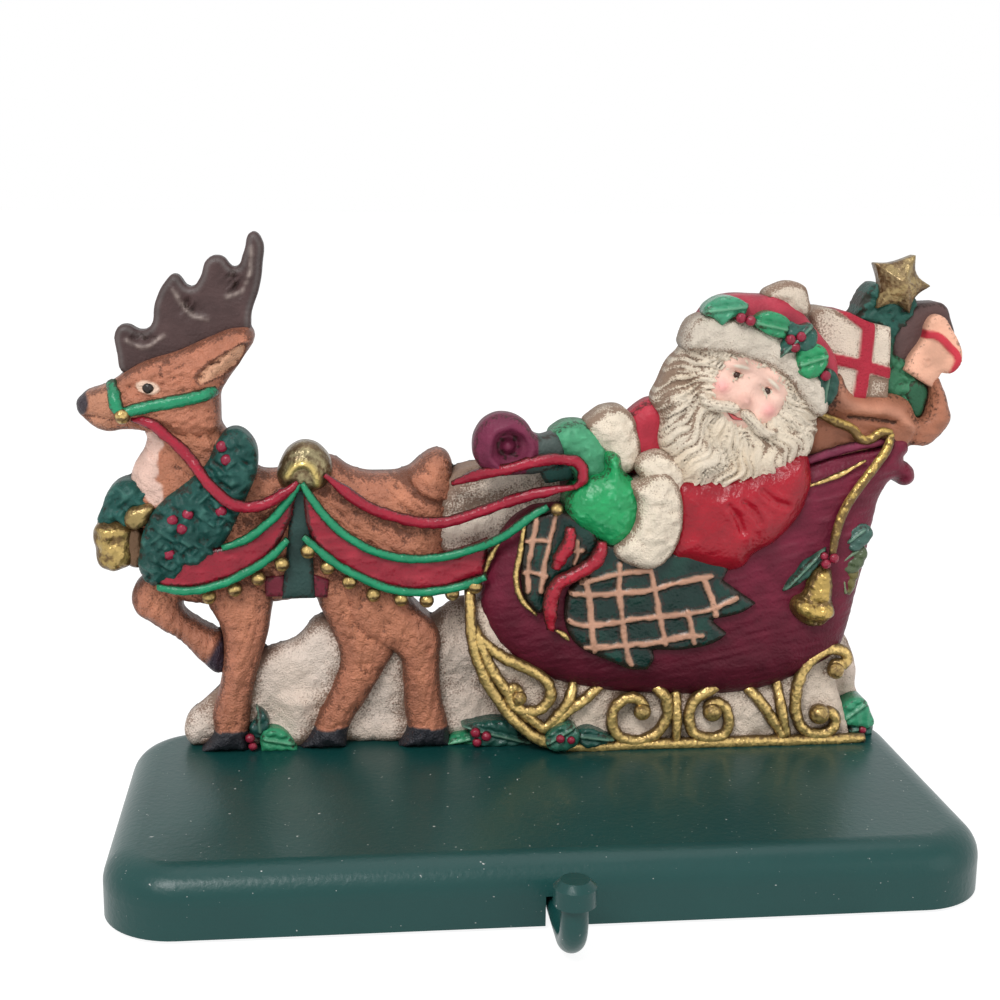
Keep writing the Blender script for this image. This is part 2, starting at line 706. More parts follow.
girth = {
    "loops": [[(-54.4, 65, 0), (-50.6, 65, 0), (-49.4, 38.4, 0), (-57.2, 38.4, 0)]], "level": 12.2,
    "edge": (1.6, 1.2), "colour": (44, 68, 64), "edgeWash": 0.5, "outline": False,
}
lappets = {
    "loops": [
        [(-61.2, 43.5, 0), (-56.5, 44, 0), (-56.5, 38.6, 0), (-61, 38.8, 0)],
        [(-50, 44, 0), (-46.2, 42.6, 0), (-46.6, 38.2, 0), (-50, 38.4, 0)],
    ],
    "level": 11.4, "edge": (0.8, 0.6), "colour": (112, 38, 52), "edgeWash": 0.5, "outline": False,
}
castForm("lappets", lappets)
castForm("girth", girth)

straps = {
    "strap_breast": [[(-86, 43.5), (-81, 48.5), (-75.5, 50.5), (-70, 51.5), (-65.5, 53), (-59.5, 57.5),
                      (-55, 63.5), (-53, 66.5, 0), (-54.5, 58, 0), (-59, 50), (-65.5, 45.6), (-72.5, 42.6),
                      (-79.5, 41.6)]],
    "strap_swag": [[(-52, 66.5, 0), (-48, 59.8), (-41.5, 53.4), (-32, 49), (-22.5, 48.3), (-13.5, 50.2),
                    (-9, 52, 0), (-9.5, 43.5, 0), (-14, 42.2), (-20.5, 40.4), (-29.5, 40.4), (-39, 43.8),
                    (-46, 48.3), (-50.5, 54)]],
}


def strapShape(x, z, reach, wash, colours):
    ripple = hatch(x, z, 5, 4.0, 1.3, 51)
    return (ripple - 0.5) * 0.35, wash + 0.15 * ripple, tint(colours, (190, 60, 74), limited(ripple - 0.6))


for name, loops in straps.items():
    castForm(name, {
        "loops": loops, "level": 13.4, "edge": (1.6, 0.9), "colour": (146, 24, 44), "paint": "gloss",
        "edgeWash": 0.8, "outline": name == "strap_swag",
    }, strapShape)

pipings = {
    "level": 13.8, "radius": 1.1, "ends": 0.75, "colour": brightGreen, "paint": "gloss",
    "lines": [
        [(-70.5, 51.2), (-65.5, 53), (-59.5, 57.4), (-55.5, 62), (-52.8, 66.2)],
        [(-85.5, 42.2), (-79.5, 41.2), (-72.5, 42.2), (-65.5, 45.2), (-59.5, 49), (-55.5, 53)],
        [(-52.2, 66.2), (-48, 59.7), (-41.5, 53.2), (-32, 48.7), (-22.5, 48), (-13.5, 50, 14.5),
         (-6.5, 53.6, 17.5), (0.5, 59, 18.8), (4, 61, 18.8)],
        [(-52, 53.6), (-46, 48.2), (-39, 43.7), (-29.5, 40.2), (-20.5, 40.2), (-13.5, 42, 14.5),
         (-10, 44, 16.5)],
    ],
}
castStrand("pipings", pipings)

saddle = {
    "loops": [[(-57.5, 66.5), (-56.8, 71.5), (-54, 75), (-50.5, 75.8), (-47, 73.8), (-45.2, 70),
               (-46, 66.5), (-49, 64.3), (-52.5, 64), (-55.5, 64.8)]],
    "level": 14.0, "start": 7.0, "edge": (4.6, 4.2), "colour": (146, 134, 100), "paint": "gold",
    "voxel": 0.4,
}


def saddleShape(x, z, reach, wash, colours):
    arch = nearLine(x, z, [(-55.5, 67.8), (-53.5, 70.2), (-51, 70.6), (-49, 68.4), (-48.4, 65.5)])
    rise = 1.1 * peak(arch, 0.9)
    return rise, wash + 0.15 + 0.35 * peak(arch - 1.6, 0.7), tint(colours, (208, 184, 112), peak(arch, 0.8))


castForm("saddle", saddle, saddleShape)

reins = {
    "level": 14.4, "radius": 1.4, "colour": crimson, "paint": "gloss",
    "lines": [
        [(-90, 80.8, 10.8), (-86, 80, 12.2), (-82.5, 77.2, 12.5), (-78, 73, 12.8), (-75, 69),
         (-71, 64.2, 15), (-67, 61.4, 15), (-62, 61.2), (-56.5, 63.8), (-53, 66.6)],
        [(-47, 68, 13.4), (-42, 63.7, 12.8), (-37, 60.2, 12.8), (-31.5, 58, 12.8), (-23, 56.2, 12.8),
         (-17.5, 56.8, 13.2), (-11, 59.2), (-3.5, 62.2, 16), (3, 64.2, 17.4), (10, 65.5, 19)],
        [(-17.6, 65.4, 12.6), (-12.5, 67.7, 14.8), (-6, 69.6, 17.6), (0.5, 71.4, 18.3), (7.5, 72, 18.6),
         (11, 71, 18.8), (12, 67.8, 19.2), (10, 65.2, 19)],
    ],
}
castStrand("reins", reins)

halter = {"level": 11.5, "radius": 1.55, "ends": 0.9, "colour": brightGreen, "paint": "gloss", "lines": [
    [(-91.8, 82.3), (-86, 83.8), (-79, 85), (-74, 86.2), (-71.6, 87.3, 9.2)],
    [(-94.6, 88.5, 7.8), (-93.9, 86.4, 10.4), (-93.3, 84), (-92.4, 81.8)],
]}
castStrand("halter", halter)

goldColour = (198, 168, 104)
bells = {
    "radius": 1.75, "colour": goldColour, "paint": "gold", "wash": 0.3, "slot": 0.7,
    "centres": [(-74, 39, 11.5), (-68, 40.8, 12), (-62.5, 43.5, 12.5), (-57, 47, 13.4), (-51, 50, 13.4),
                (-46.5, 46, 13), (-41.5, 42.4, 13), (-36, 39.2, 13), (-29.5, 38, 13), (-23.5, 37.6, 13),
                (-17.5, 39.2, 13), (-12.2, 41.2, 14.5), (6, 60.5, 19.6, 1.5), (-92, 81.6, 12.2, 1.8)],
}
castBalls("small_bells", bells)

gauds = {
    "loops": [[(-99, 56.4), (-95.5, 57.6), (-91.4, 56.6), (-90.2, 52), (-90.8, 48), (-93.6, 46),
               (-98, 46.4), (-99.3, 51)]],
    "level": 12.0, "edge": (4.0, 3.8), "colour": (174, 148, 88), "paint": "gold",
}


def gaudShape(x, z, reach, wash, colours):
    lumps = grain(x, z, 1.8, 54)
    band = peak(z - 55 + 0.1 * (x + 95), 0.7)
    rise = (lumps - 0.5) * 1.3 + 0.7 * band
    return rise, wash + 0.15 + 0.9 * limited(0.45 - lumps) + 0.3 * peak(z - 53.2, 0.8), colours


castForm("breast_bell", gauds, gaudShape)
castForm("breast_bow", {
    "loops": [[(-92, 59.5), (-89, 61), (-85.8, 61), (-86.6, 58.2), (-88, 56.2), (-91.8, 56)]],
    "level": 12.5, "edge": (2.2, 2.0), "colour": (156, 134, 84), "paint": "gold", "voxel": 0.35,
})
castForm("breast_knot", {
    "loops": [[(-92.5, 56), (-89, 55.5), (-87.6, 50), (-88.5, 46.5), (-92, 46.5), (-93.5, 50)]],
    "level": 10.5, "edge": (2.6, 2.2), "colour": (104, 78, 56), "paint": "gold",
})
print("harness made")

# Snow bank and the runner in front of it.

snow = {
    "loops": [[(-79.2, -0.3, 0), (-80.9, 3.6), (-80, 8.4), (-76.5, 11.5), (-72.5, 15), (-62, 24), (-54, 27),
               (-48, 32.5), (-39, 27), (-22.5, 31.5), (-15, 36), (-8, 36), (10, 30), (60, 30), (75, 27),
               (78.5, 26.4), (80.6, 24.8), (82.4, 21.5), (83.6, 16.5), (84.2, 11), (86.6, 7), (87.2, 2.5),
               (87.4, -0.3, 0)]],
    "level": 6.4, "edge": (5.0, 3.6), "colour": (234, 216, 202), "paint": "fleece", "edgeWash": 0.4,
    "washWidth": 2.6, "voxel": 0.6,
}
# The snow is darker beside the legs and under the sleigh.
snowShade = [leg["loops"][0] for leg in legs.values()]
snowShade += [
    [(-12.5, 41), (-12, 28), (-7.5, 12), (2, 1), (12, -2)],
    [(-6, 26), (6, 17), (33, 12.5), (62, 15), (73, 24), (76, 36)],
]


def snowShape(x, z, reach, wash, colours):
    lumps = grain(x, z, 7.5, 61)
    rise = (lumps - 0.5) * 2.4 + (grain(x, z, 1.2, 62) - 0.5) * 0.7
    nearest = nearLines(x, z, snowShade)
    wash = wash * (0.4 + grain(x, z, 1.6, 63)) + 0.5 * limited(0.4 - lumps) + 0.5 * np.exp(-nearest / 3.2)
    # The snow is thicker where a screw goes up into it.
    rise = rise + 2.6 * peak(x + 54, 3.4) * limited((14 - z) / 3)
    return rise, wash, tint(colours, (214, 184, 158), limited(grain(x, z, 9, 64) - 0.4) * 0.6)


castForm("snow", snow, snowShape)

scrolls = [
    [(-13.4, 40.5, 13), (-13, 30), (-11, 21.5), (-7, 14), (-1.5, 7), (4.5, 2.6), (10.5, 1.2), (27.5, 1.0),
     (56.5, 0.9), (75.5, 0.9), (84, 1.0)],
    [(-12.9, 32, 13.4), (-11.2, 28), (-8.8, 22), (-5, 16), (0, 9.6), (5, 5.2)],
    [(-1.3, 14.6), (-3, 16), (-4, 14.2), (-2.2, 11.2), (2, 10.2), (5, 12), (6, 15), (4, 18.5), (-1, 21.5),
     (-6.5, 24.5), (-11.5, 29)],
    [(12.2, 19, 11.5), (10.5, 13), (8, 9), (4.5, 5.5)],
    [(21, 17.4, 11.5), (13.5, 12.2), (9.5, 9.2), (6, 5.5)],
    [(28, 9), (28.5, 11), (26, 13), (22.5, 11.5), (21, 7.5), (22.3, 3.8), (26.5, 2), (31, 3), (34, 6.4),
     (34.5, 10.5), (33, 14), (28, 16.6, 11.5)],
    [(36.7, 17, 11.5), (36.8, 8), (37, 1)],
    [(45.5, 8.2), (44.8, 10.4), (47.3, 10.8), (49.5, 8), (49.5, 4.2), (46.5, 2.2), (42, 3), (40, 6.7),
     (41, 11.5), (44.5, 14.2), (51, 16, 12)],
    [(52, 16.6, 11.5), (57.5, 11), (61, 5.8), (63.5, 2)], [(61.3, 19, 11.5), (62.5, 10), (64.5, 2)],
    [(74.4, 18.2), (75.6, 20), (78, 20.4), (78.2, 22.6), (75, 24), (71, 22.6), (67.4, 18), (66.2, 12.5),
     (66.7, 7), (69.2, 3.3), (73, 2.4), (76, 4.2), (75.7, 7.4), (73, 8.4)],
]
panel = {
    "loops": [[(-11.5, 38), (-11.5, 28), (-7, 13.5), (0, 6), (8, 1), (14, -0.3, 0), (81, -0.3, 0), (79, 8),
               (76.5, 16), (77, 24), (62, 28), (20, 28)]],
    "level": 13.6, "edge": (3.0, 2.4), "colour": (230, 212, 194), "paint": "fleece", "edgeWash": 0.5,
    "washWidth": 2.0, "voxel": 0.5, "outline": False,
}


# The wash is darker beside the gold scrolls.
def panelShape(x, z, reach, wash, colours):
    rise, wash, colours = snowShape(x, z, reach, wash * 0.5, colours)
    nearest = nearLines(x, z, flatLines(scrolls))
    return rise, wash * 0.6 + 0.4 * np.exp(-np.clip(nearest - 1.0, 0, 99) / 0.9), colours


castForm("runner_panel", panel, panelShape)

gilt = {
    "level": 14.8, "radius": 1.5, "colour": goldColour, "paint": "gold", "wash": 0.24, "ends": 0.8,
    "lines": scrolls,
}
castStrand("runner", gilt)
castBalls("runner_buds", {
    "radius": 2.2, "colour": goldColour, "paint": "gold", "wash": 0.4,
    "centres": [(-1.6, 13.8, 15.5, 1.9), (28.2, 9.6, 15.6), (45.4, 9, 15.6, 2.4), (75.6, 18.8, 15.4),
                (72, 7.8, 15.6, 2.6)],
})
print("snow and runner made")

# Sleigh with its blanket.

sleigh = {
    "loops": [[(-7, 53.5), (-10.4, 45), (-11.5, 38.5), (-9.5, 31.5), (-7, 27.5), (-0.5, 22), (5.5, 19),
               (17, 16), (32.5, 14.5), (52, 14.5), (62, 17), (69.5, 20.5), (75, 24.5), (77.3, 31),
               (79, 39.5), (80.6, 47), (82, 56), (84, 63.6), (86.4, 66.2), (88.6, 64.6), (90.8, 65.2),
               (91.6, 67.6), (90, 70), (88.6, 70.8), (89.6, 73.5), (88.5, 76), (85.5, 76.3), (80, 74.5),
               (70.5, 72.5), (65.5, 71), (54, 68), (39.5, 66.5), (28, 63), (16.5, 58.5), (7, 61),
               (-0.5, 60)]],
    "level": 17.5, "edge": (10.0, 6.5), "colour": (108, 28, 50), "washWidth": 2.0, "edgeWash": 0.35,
}


def sleighShape(x, z, reach, wash, colours):
    strokes = hatch(x, z, 12, 4.5, 0.9, 71)
    rise = (strokes - 0.5) * 0.3
    colours = tint(colours, (78, 20, 34), limited((44 - z) / 26) * 0.85)
    colours = tint(colours, (150, 84, 98), limited(strokes - 0.68) * limited((z - 30) / 30))
    rim = nearLine(x, z, [(64.5, 69.3), (74.5, 72.3), (86, 74)])
    rise = rise + 0.8 * peak(rim - 1.2, 0.7)
    return rise, wash + 0.4 * peak(rim, 0.8), colours


castForm("sleigh", sleigh, sleighShape)
castStrand("sleigh_rim", {"level": 14.6, "radius": 1.2, "colour": (112, 44, 66), "lines": [
    [(62, 69.3, 16), (68, 71.2), (75, 73.2), (82, 74.6), (87.5, 74.6, 13.4)],
]})

curl = {
    "loops": [[(-13.2, 74.5), (-12.2, 79), (-9, 82), (-5, 82.4), (-1, 80.4), (1.4, 77.4), (6.5, 77.6),
               (8, 72), (4, 69), (-3, 68.2), (-9, 68.6), (-12.2, 71)]],
    "level": 17.0, "start": 11.0, "edge": (3.0, 2.4), "colour": (112, 42, 68),
}


def curlShape(x, z, reach, wash, colours):
    away = np.hypot(x + 4.9, z - 74.4) + (grain(x, z, 2.2, 74) - 0.5) * 0.7
    ringBand = peak(away - 4.9, 1.5)
    well = peak(away - 2.3, 1.3)
    rise = 1.6 * ringBand - 2.6 * well - 0.6 * peak(away, 1.6)
    shade = limited(well * 0.7 + 0.4 * peak(away - 2.4, 0.6))
    far = (np.hypot(x + 5.4, z - 74.9) > 7.4) & (x > -1)
    colours = tint(colours, (66, 78, 74), far.astype(float))
    colours = tint(colours, (160, 92, 112), 0.6 * peak(away - 3.4, 0.5) * grain(x, z, 1.4, 75))
    return rise, wash + shade * grain(x, z, 0.8, 72), colours


castForm("curl", curl, curlShape)

web = {
    "loops": [[(-17, 67), (-8, 69.5), (0, 72), (8, 71), (12, 66), (8, 60), (1, 57), (-4, 51), (-10, 46),
               (-18, 46), (-20, 58)]],
    "level": 9.0, "edge": (2.0, 1.0), "colour": (232, 216, 200), "paint": "fleece",
}


def webShape(x, z, reach, wash, colours):
    nearest = nearLines(x, z, flatLines(reins["lines"][1:] + pipings["lines"][2:3]))
    shaded = limited(1 - (x + 17) / 14) * limited((z - 57) / 4)
    beside = np.exp(-np.clip(nearest - 1.2, 0, 99) / 1.5)
    return (grain(x, z, 1.2, 73) - 0.5) * 0.8, wash * 0.6 + 0.5 * shaded + 0.4 * beside, colours


castForm("snow_behind_reins", web, webShape)
castForm("rein_window", {
    "loops": [[(2, 70, 0), (10.5, 70, 0), (10.5, 66.5, 0), (4, 65.5, 0)]], "level": 14.6,
    "edge": (0.8, 0.6), "colour": (36, 82, 74), "outline": False,
})

blanket = {
    "loops": [[(16.5, 51.5), (20.5, 52), (28, 50), (37.5, 50), (45.5, 48), (47, 45.5, 0), (45.7, 43, 0),
               (48.5, 41), (54, 37.2, 0), (51, 35.2), (43.4, 33.3, 0), (45, 31.8), (47.3, 30, 0),
               (45.5, 28.3), (38, 26.3), (29.3, 26.2, 0), (30, 24.3), (28.4, 21.2, 0), (24, 21.6),
               (20, 23.4), (12, 27.3), (9, 31.5), (8.3, 38), (9.3, 41.5), (12.5, 44.5)]],
    "level": 19.5, "edge": (1.6, 1.3), "colour": (4, 42, 36), "paint": "gloss", "voxel": 0.36,
    "edgeWash": 0.8,
}
tanColour = (200, 150, 124)
plaidLines = [
    [(13, 43.5), (14, 39.5), (14.5, 34), (15.5, 26)],
    [(21, 47), (21, 41.5), (22, 34), (23, 27), (24.3, 22.8)],
    [(28.3, 46), (29.5, 41), (31, 34), (32.5, 27.6)], [(37.5, 35.5), (38.5, 31.5), (39.3, 27.8)],
    [(41.3, 43), (43, 39), (44.2, 34.5)], [(12, 43), (16.5, 44), (20.5, 45), (28.3, 45.6)],
    [(9.6, 40.6), (16, 40), (22, 40.5), (29, 41), (34.5, 42.5), (43, 44)],
    [(9.3, 34), (11, 33), (18, 33), (25.5, 34), (37.5, 35), (43, 36), (49, 38.7)],
    [(13.5, 27), (22, 27.5), (29.5, 28), (38, 29.5), (41, 29.6)],
]


def plaidShape(lines, width):
    def shape(x, z, reach, wash, colours):
        nearest = nearLines(x, z, lines)
        nearest = nearest + (grain(x, z, 1.5, 81) - 0.5) * 0.5
        stripe = limited((width - nearest) / 0.3)
        folds = grain(x, z, 5, 82)
        rise = 0.7 * stripe + (folds - 0.5) * 0.9
        wash = limited(wash + 0.6 * peak(nearest - width - 0.4, 0.4)) * (1 - 0.6 * stripe)
        colours = tint(colours, (26, 86, 72), limited(folds - 0.5))
        return rise, wash + 0.12, tint(colours, tanColour, stripe * 0.92)
    return shape


castForm("blanket", blanket, plaidShape(plaidLines, 0.8))
strip = {
    "loops": [[(-1, 57.5), (3.5, 59.5), (8.5, 59.5), (16, 53), (13.5, 48), (9, 44), (5, 40), (2.6, 35.5),
               (-0.6, 38.5), (-2, 43), (-2.1, 49), (-1.4, 53.5)]],
    "level": 18.8, "edge": (1.4, 1.1), "colour": (4, 42, 36), "paint": "gloss", "voxel": 0.36,
    "edgeWash": 0.8, "outline": False,
}
stripLines = [
    [(1.5, 58.5), (0.6, 53), (-0.3, 47), (-0.4, 41)], [(5.8, 58.6), (4.6, 53), (3.4, 47), (2.8, 41)],
    [(-1.2, 53), (1.2, 53.2), (4.6, 52.8)], [(-1.2, 45.6), (1, 45.4), (3.6, 44.6)],
    [(10.8, 52.6), (11, 49.8), (10.4, 47.4)], [(9.4, 50.4), (12.4, 50.6)],
]
castForm("blanket_strip", strip, plaidShape(stripLines, 0.7))
castStrand("sleigh_piping", {
    "level": 18.9, "radius": 0.75, "colour": goldColour, "paint": "gold", "wash": 0.3,
    "lines": [
        [(-1.2, 58.2), (-2.2, 51), (-3.1, 43.5), (-1.5, 38.6), (1.8, 35.2)],
        [(6.4, 31.5), (8.4, 30.2), (9.6, 28.8)], [(65.5, 64.6, 17), (73, 67.3, 17), (79.5, 70.8, 17)],
        [(-5.8, 53.8, 16), (-8.6, 48.5, 15), (-10, 44.2, 14)],
    ],
})
castStrand("ribbons", {
    "level": 20.3, "radius": 1.8, "ends": 0.6, "colour": (150, 24, 42), "paint": "gloss", "wash": 0.25,
    "lines": [
        [(16.5, 53), (16.3, 50.3), (14, 47.3), (9.8, 45), (6.6, 43), (5, 39.5), (4.8, 36), (5, 32)],
        [(9.2, 56.5), (8.8, 52.8), (6.8, 49), (5.8, 46.5)],
    ],
})
print("sleigh made")

# Load behind the driver: sack, gifts, tree, star and toy.

tree = {
    "loops": [[(78, 103), (78.4, 106), (79.6, 109), (82, 111.5), (85, 111), (91.5, 108.5), (91.5, 103.5),
               (88, 99.5), (87.5, 95.5), (92, 92), (93, 84), (87, 83), (84, 84), (84, 101)]],
    "level": 9.5, "edge": (2.2, 1.8), "colour": (38, 84, 74),
}


def treeShape(x, z, reach, wash, colours):
    rise, wash, colours = leafyShape(x, z, reach, wash, colours)
    return rise * 0.8, wash, tint(colours, (60, 120, 84), limited((99 - z) / 6) * 0.8)


castForm("tree", tree, treeShape)

toy = {
    "loops": [[(86, 101), (91, 106), (96, 107), (99.5, 106.5), (101.3, 103), (102.5, 98), (99, 92),
               (97, 86), (95, 80), (88, 81), (87.5, 92)]],
    "level": 8.5, "edge": (2.4, 1.8), "colour": (92, 70, 68),
}
castForm("toy", toy)
castForm("toy_foot", {
    "loops": [[(91.5, 88.5), (95.5, 87.5), (95.8, 83), (93.5, 79.5), (91, 83)]], "level": 10.2,
    "edge": (1.6, 1.2), "colour": (44, 92, 66),
})

sack = {
    "loops": [[(65, 70), (65, 76), (65.5, 82), (69, 90), (72.5, 92), (75, 88), (79.5, 86.6), (85, 86.2),
               (90, 84.5), (93.5, 80), (95.5, 84), (96.5, 90), (98.5, 87.5), (100.2, 83), (101, 80),
               (98.5, 76), (95.5, 73.6), (90.5, 73), (89.5, 68), (80, 66), (70, 66)]],
    "level": 13.5, "edge": (4.0, 3.4), "colour": (162, 106, 82), "edgeWash": 0.5, "washWidth": 1.8,
}


def sackShape(x, z, reach, wash, colours):
    roll = nearLine(x, z, [(73.5, 88), (74.5, 84.5), (80, 82.6), (86, 82), (91.5, 78.5)])
    crease = nearLine(x, z, [(76, 80.6), (82, 80), (87, 79.2)])
    lowCrease = nearLine(x, z, [(90.5, 81.5), (93, 77), (92, 74)])
    folds = hatch(x, z, -12, 6, 1.2, 91)
    rise = 1.7 * peak(roll, 2.2) - 1.1 * peak(crease, 0.7) - 0.8 * peak(lowCrease, 0.8) + (folds - 0.5) * 0.6
    wash = wash + 0.8 * peak(crease, 0.7) + 0.3 * peak(lowCrease, 0.8)
    shadow = blob(x, z, (70.5, 85), 3.5, 6)
    wash = wash + shadow * 0.75
    return rise, wash, tint(colours, (198, 142, 118), peak(roll, 1.6) * 0.5)


castForm("sack", sack, sackShape)

giftWhite = {
    "loops": [[(65, 104.5, 0), (66.3, 105.6), (74.6, 105.2, 0), (80, 102.8), (85.2, 101.6, 0), (85.4, 94),
               (85.4, 84.5, 0), (76, 84.5, 0), (71, 88), (68, 96)]],
    "level": 12.8, "edge": (1.4, 1.2), "colour": (224, 208, 190), "paint": "fleece", "voxel": 0.4,
    "edgeWash": 0.3,
}


def giftShape(x, z, reach, wash, colours):
    upright = nearLine(x, z, [(73.4, 106.4, 0), (76.5, 104.2), (79.6, 102, 0), (79.3, 94, 0), (78.3, 84)])
    level = nearLine(x, z, [(70.5, 94.4), (76, 93.3), (85.5, 90.8)])
    nearest = np.minimum(upright - 0.3, level)
    ribbon = limited((1.5 - nearest) / 0.3)
    rise = 0.7 * ribbon - 0.06 * np.clip(74 - x, 0, 9)
    wash = wash + 0.35 * peak(nearest - 1.8, 0.4) + limited((75 - x) / 9) * 0.45
    wash = wash + 0.5 * (x > 80) * (z < 90.5)
    return rise, wash * (1 - ribbon * 0.8), tint(colours, (176, 44, 62), ribbon)


castForm("gift_white", giftWhite, giftShape)

giftPink = {
    "loops": [[(95.8, 104.2), (97.8, 104.2), (100.5, 101), (103.2, 96.2), (103.6, 93.4, 0), (100.8, 90.6),
               (98.6, 90.6, 0), (96.6, 87, 0), (89.4, 91.3, 0), (90.2, 93.6), (93.8, 99.4), (94.2, 102)]],
    "level": 11.6, "edge": (1.4, 1.2), "colour": (226, 172, 146), "voxel": 0.4, "edgeWash": 0.35,
}


def giftPinkShape(x, z, reach, wash, colours):
    ribbon = nearLine(x, z, [(94, 99.8), (96.8, 99.4), (100, 96.8), (102.3, 94), (101.5, 91)])
    share = limited((1.1 - ribbon) / 0.3)
    button = peak(np.hypot(x - 95, z - 93.5) - 0.9, 0.3)
    return 0.7 * share + 0.4 * button, wash * (1 - share) + 0.3 * button, tint(colours, (190, 52, 66), share)


castForm("gift_pink", giftPink, giftPinkShape)

star = {
    "loops": [[(81, 116.4, 0), (85, 116.4), (90.8, 118.3, 0), (91.4, 113.8), (95.0, 111.0, 0),
               (91.4, 108.4), (90.2, 104.6, 0), (86.4, 106.8), (82, 105.6, 0), (82.6, 111)]],
    "level": 10.6, "start": 7.5, "edge": (0.6, 0.3), "colour": (160, 138, 94), "paint": "gold",
    "voxel": 0.32,
}


# The star is a roof over its outline, so its ridges run out to the tips.
def starShape(x, z, reach, wash, colours):
    around = np.degrees(np.arctan2(z - 112, x - 88.2)) % 360
    shaded = np.zeros(len(x), dtype=bool)
    for first, last in ((150, 205), (96, 128), (330, 352), (262, 300), (32, 60)):
        shaded = shaded | ((around > first) & (around < last))
    return reach * 0.85, wash * 0.6 + 0.15 * shaded + 0.18, tint(colours, (110, 88, 66), shaded * 0.45)


castForm("star", star, starShape)

cord = {
    "radius": 1.15, "level": 15.5, "colour": (196, 166, 92), "paint": "gold", "ends": 0.7,
    "lines": [
        [(68, 81.6, 14.8), (72, 79.8), (76.5, 77.8), (78.5, 75.6), (80.5, 75.4), (83.5, 77.2), (86, 77)],
        [(85.8, 77), (85, 74, 16.2), (82, 70, 17.6), (78, 65, 18.4), (74.5, 59.5, 18.8), (72.6, 54, 19.2),
         (71.8, 48, 19.4)],
    ],
}


# A strand whose front rises and falls like the lay of a twisted cord.
def castCord(name, settings):
    mesh = strandMesh(settings)
    local = vertexRows(mesh)
    twist = np.sin((local[:, 0] * 0.9 + local[:, 1] * 1.6 + local[:, 2] * 0.8) * 2.4)
    heart = nearLines(local[:, 0], local[:, 1], flatLines(settings["lines"]))
    local[:, 2] += twist * 0.22 * limited(1.2 - heart)
    mesh.vertices.foreach_set("co", toFrame(local).ravel())
    under = 0.9 * limited(0.6 - vertexRows(mesh, "normal")[:, 2])
    setPaint(mesh, linear(settings["colour"]), limited(0.2 - twist * 0.2) + under)
    return addPiece(name, mesh, settings["paint"])


castCord("cord", cord)

bell = {
    "loops": [[(67.6, 46), (70.6, 46.2), (71.6, 43), (71.8, 38.5), (72.4, 35), (70.8, 32.6), (67, 31.8),
               (63.6, 33.6), (61.8, 36.6), (62.6, 38.8), (64.8, 40), (65.8, 43.4)]],
    "level": 21.5, "edge": (3.6, 3.4), "colour": (184, 154, 84), "paint": "gold", "voxel": 0.4,
}


def bellShape(x, z, reach, wash, colours):
    lip = nearLine(x, z, [(62.4, 38), (65, 36), (68.6, 34.8), (72, 35)])
    rise = 0.9 * peak(lip - 0.2, 1.1) - 0.5 * peak(lip - 2.4, 0.7) + (grain(x, z, 1.0, 95) - 0.5) * 0.7
    return rise, wash + 0.45 * peak(lip - 2.2, 0.7) + 0.15, colours


castForm("bell", bell, bellShape)
print("load made")


# Holly leaves have a rib along the middle and veins beside it.
def leafShape(tip, stem):
    def shape(x, z, reach, wash, colours):
        rib = nearLine(x, z, [tip, stem])
        length = math.dist(tip, stem)
        along = ((x - stem[0]) * (tip[0] - stem[0]) + (z - stem[1]) * (tip[1] - stem[1])) / length
        veins = np.cos((along * 2.2 - rib * 1.6)) * limited(rib / 1.2)
        rise = 0.35 * peak(rib, 0.35) - 0.45 * peak(rib - 0.8, 0.5) + 0.2 * veins
        return rise, wash + 0.3 * peak(rib - 0.6, 0.4), tint(colours, (150, 190, 160), 0.35 * peak(rib, 0.3))
    return shape


